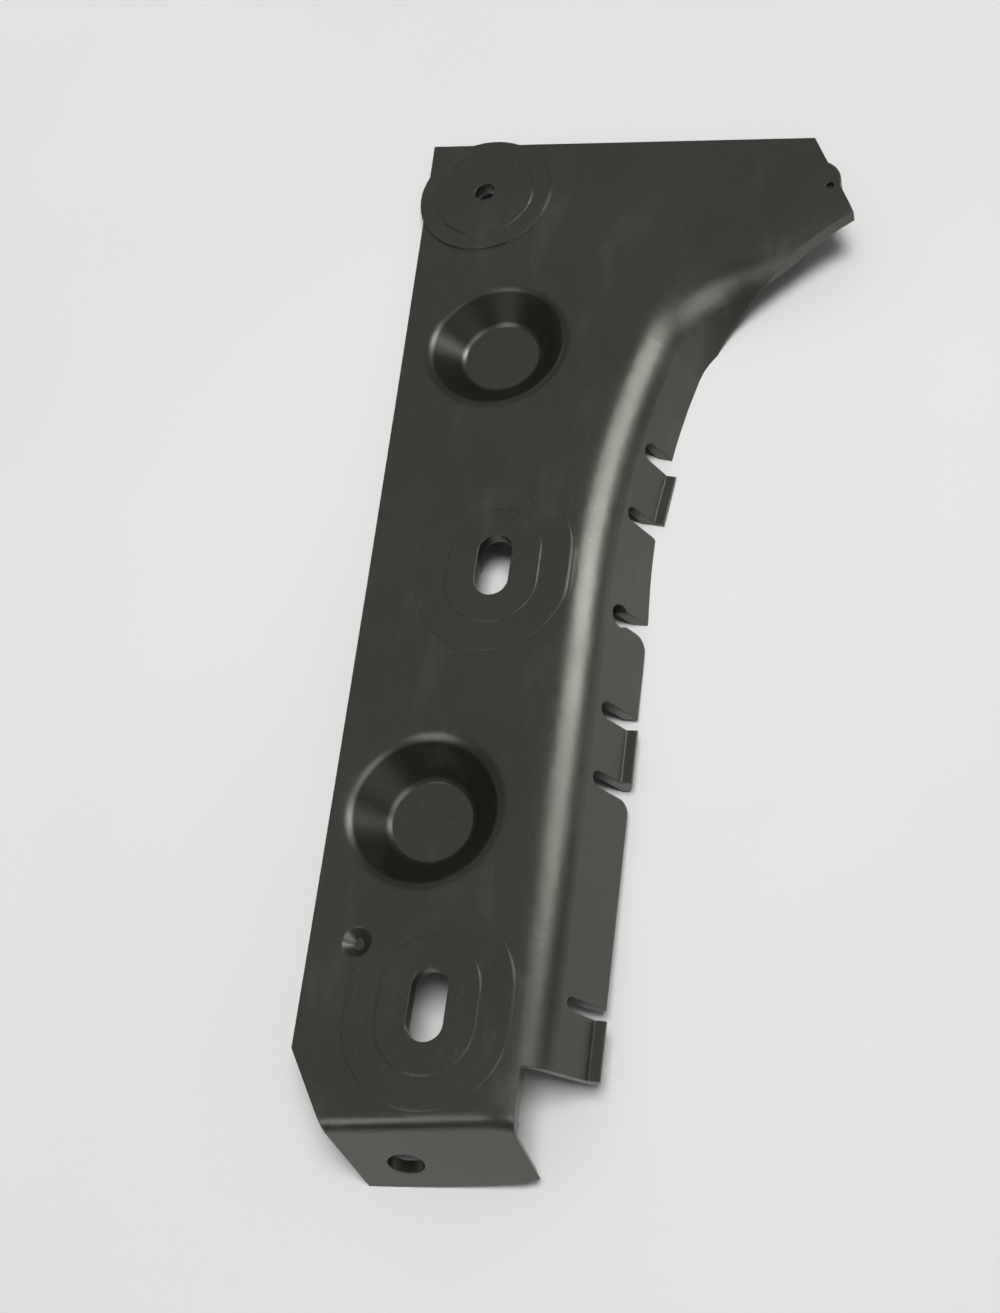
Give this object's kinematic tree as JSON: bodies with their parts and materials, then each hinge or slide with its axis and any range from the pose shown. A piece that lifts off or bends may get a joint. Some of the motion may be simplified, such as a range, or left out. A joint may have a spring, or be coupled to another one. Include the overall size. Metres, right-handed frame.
{
  "type": "bumper mounting bracket",
  "caption": "Plastic bumper mounting bracket with slotted holes, dished wells, a rolled side flange with snap tabs, a drilled bottom flange and a tapering arm.",
  "frame": {"origin": "centre of the locating hole, on the outer face of the flat plate", "axes": "+Z out of the plate's outer face, +Y up the plate along the line of the slots, +X towards the tip of the arm"},
  "size_m": [0.094, 0.2221, 0.0214],
  "materials": {
    "moulding": "satin black moulded plastic"
  },
  "bodies": {
    "root": {"mounting_bracket": "moulding"}
  },
  "joints": []
}
